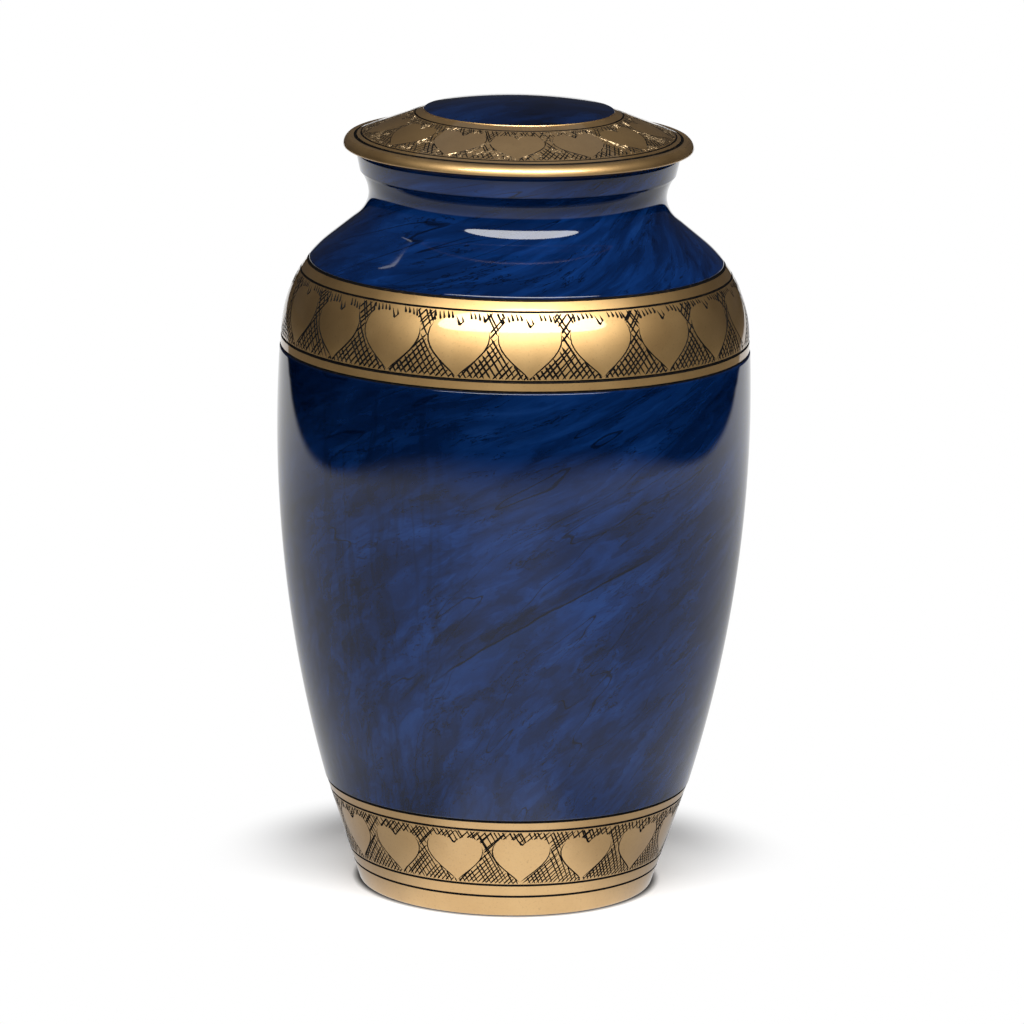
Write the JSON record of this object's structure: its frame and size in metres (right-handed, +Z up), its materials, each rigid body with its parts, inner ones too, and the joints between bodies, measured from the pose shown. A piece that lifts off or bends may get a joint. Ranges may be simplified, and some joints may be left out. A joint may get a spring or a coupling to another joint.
{
  "type": "cremation urn",
  "caption": "Hollow turned metal cremation urn with a rounded shoulder, a short neck, two plain raised-edge bands and a loose domed lid.",
  "frame": {"origin": "centre of the underside, where the urn stands", "axes": "+Z up along the urn's axis; the urn is turned, and +X and +Y are level"},
  "size_m": [0.152, 0.152, 0.2565],
  "materials": {
    "enamelled_brass": "gloss",
    "bare_brass": "satin"
  },
  "bodies": {
    "root": {"urn_body": "enamelled_brass", "lid": "bare_brass"}
  },
  "joints": []
}
